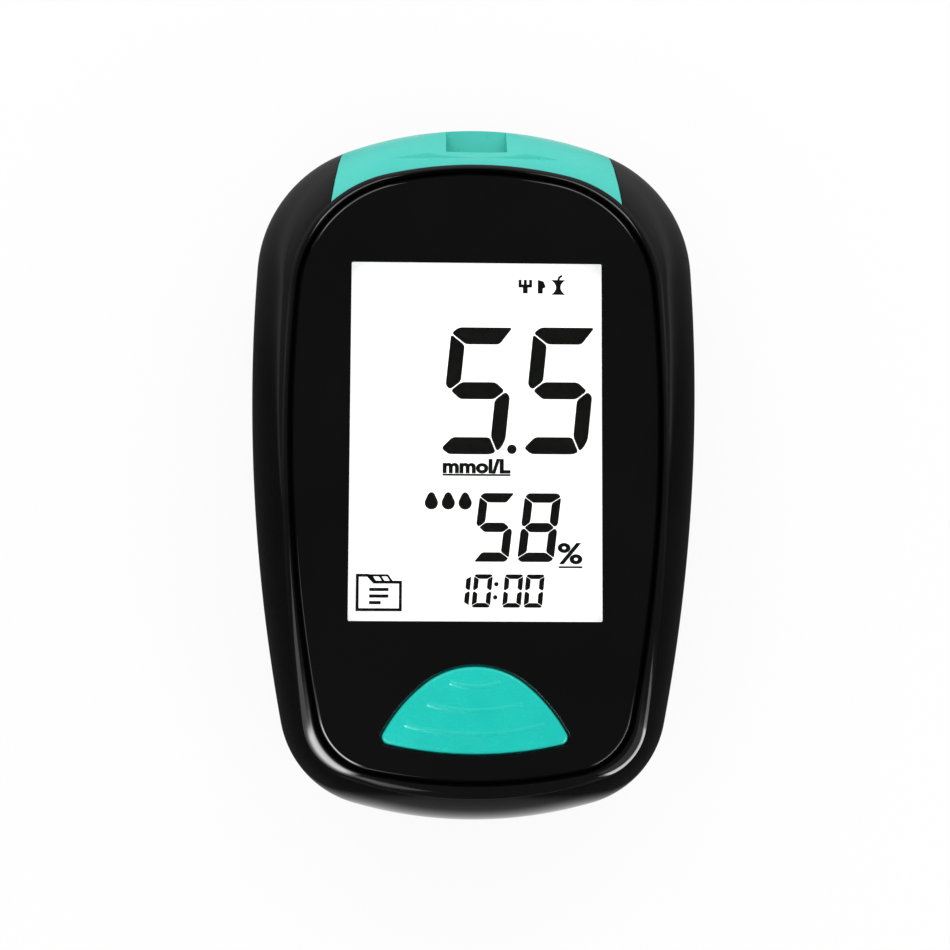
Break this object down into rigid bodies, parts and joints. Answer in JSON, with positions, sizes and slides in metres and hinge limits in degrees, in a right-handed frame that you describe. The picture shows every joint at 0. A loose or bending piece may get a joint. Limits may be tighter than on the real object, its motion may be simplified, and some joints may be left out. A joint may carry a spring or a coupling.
{
  "type": "blood glucose meter",
  "caption": "Hand-held blood glucose meter with a large segment display, half-moon push button, strip port cap and sliding battery door.",
  "frame": {"origin": "middle of the back, on the plane that the meter rests on when it lies on its back", "axes": "+Z out of the display, +Y along the meter towards the strip port, +X to the right of someone reading the display"},
  "size_m": [0.061, 0.0946, 0.0253],
  "materials": {
    "black_gloss": "polished black moulding",
    "turquoise": "satin turquoise moulding",
    "panel_black": "mirror gloss black panel",
    "tape_black": "adhesive film",
    "window_clear": "clear polished window",
    "cell_glass": "pale liquid crystal cell",
    "reflector_white": "white reflector film",
    "segment_dark": "lit display segments",
    "frame_white": "moulded frame",
    "elastomer_grey": "striped silicone strip",
    "switch_black": "moulded",
    "board_green": "solder mask",
    "chip_black": "moulded package",
    "can_steel": "nickel plated",
    "spring_steel": "nickel plated wire",
    "connector_ivory": "moulded",
    "contact_gold": "gold plated",
    "cell_jacket": "printed jacket, plain",
    "label_grey": "blank foil label",
    "screw_steel": "zinc plated"
  },
  "bodies": {
    "meter": {"front_housing": "black_gloss", "rear_housing": "black_gloss", "port_cap": "turquoise", "face_panel": "panel_black", "panel_tape": "tape_black", "display_lens": "window_clear", "lcd_glass": "cell_glass", "lcd_reflector": "reflector_white", "lcd_segments": "segment_dark", "lcd_holder": "frame_white", "zebra_connector": "elastomer_grey", "switch_body": "switch_black", "main_board": "board_green", "microcontroller": "chip_black", "analog_chip": "chip_black", "crystal": "can_steel", "buzzer": "chip_black", "strip_connector": "connector_ivory", "connector_contacts": "contact_gold", "battery_left": "cell_jacket", "battery_right": "cell_jacket", "battery_springs": "spring_steel", "contact_bridge": "can_steel", "contact_plates": "can_steel", "rear_label": "label_grey", "case_screws": "screw_steel", "board_screws": "screw_steel"},
    "button": {"main_button": "turquoise", "switch_plunger": "switch_black"},
    "door": {"battery_door": "black_gloss"}
  },
  "joints": [
    {"name": "button_press", "type": "slide", "parent": "meter", "child": "button", "axis": [0, 0, -1], "range_m": [0, 0.0006], "stiffness_N_per_m": 2500},
    {"name": "door_slide", "type": "slide", "parent": "meter", "child": "door", "axis": [0, -1, 0], "range_m": [0, 0.05]}
  ]
}
